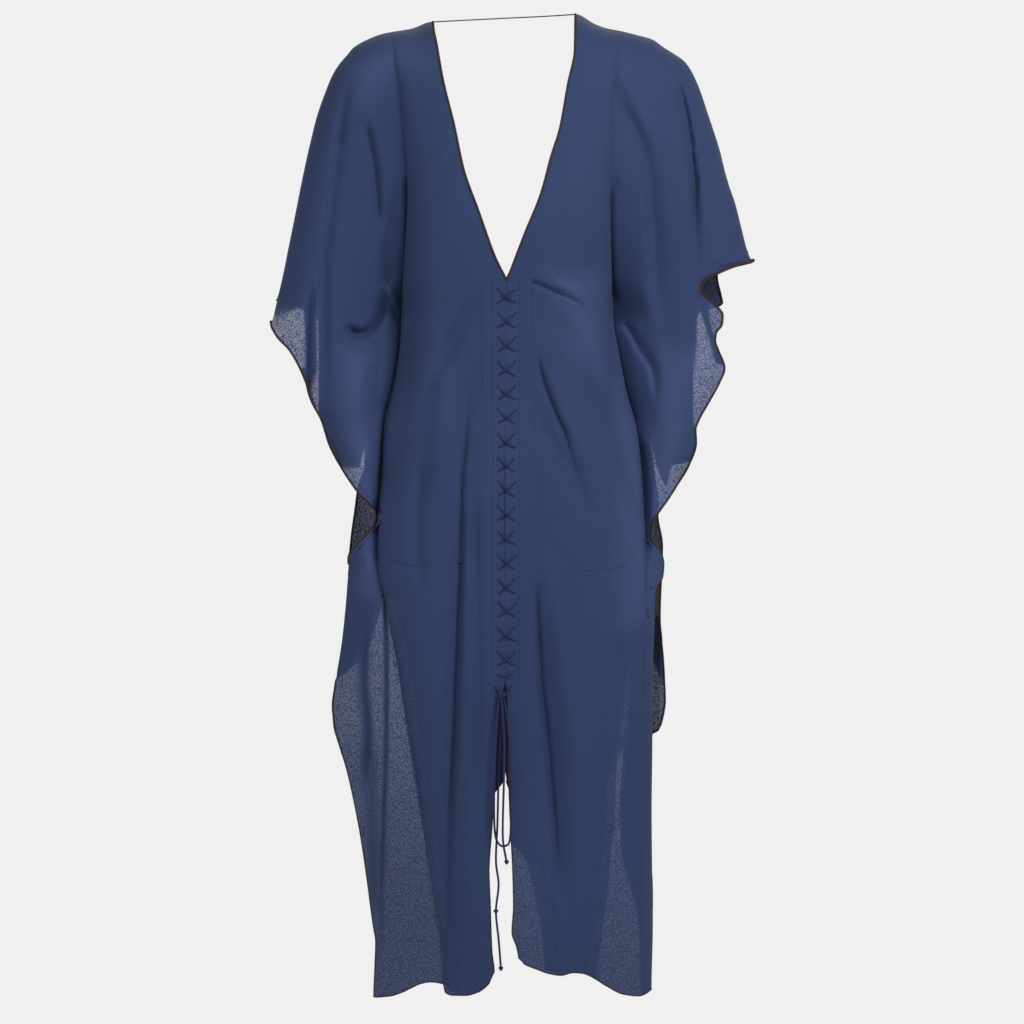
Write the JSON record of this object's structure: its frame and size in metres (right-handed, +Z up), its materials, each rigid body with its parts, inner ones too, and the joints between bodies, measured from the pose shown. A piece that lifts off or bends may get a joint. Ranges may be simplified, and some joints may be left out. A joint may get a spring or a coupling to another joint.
{
  "type": "kaftan dress",
  "caption": "Long open-sided kaftan dress with a deep V neck, winged sleeves cut in one, a laced centre front and a front slit, hanging hollow as worn.",
  "frame": {"origin": "middle of the neck, level with the shoulders that hold the dress up", "axes": "+Z up, -Y towards the front of the dress, +X towards the wearer's left arm"},
  "size_m": [0.6391, 0.2489, 1.2998],
  "materials": {
    "crepe": "matte",
    "lace": "matte",
    "edging": "matte"
  },
  "bodies": {
    "root": {"front_left": "crepe", "front_right": "crepe", "back_left": "crepe", "back_right": "crepe", "band_left": "crepe", "band_right": "crepe", "pocket_left": "crepe", "pocket_right": "crepe", "lace_cross_1": "lace", "lace_cross_2": "lace", "lace_cross_3": "lace", "lace_cross_4": "lace", "lace_cross_5": "lace", "lace_cross_6": "lace", "lace_cross_7": "lace", "lace_cross_8": "lace", "lace_cross_9": "lace", "lace_cross_10": "lace", "lace_cross_11": "lace", "lace_cross_12": "lace", "lace_cross_13": "lace", "lace_cross_14": "lace", "lace_cross_15": "lace", "lace_cross_16": "lace", "lace_knot": "lace", "lace_loop": "lace", "lace_tail_long": "lace", "lace_tail_short": "lace", "neck_string": "edging"}
  },
  "joints": []
}
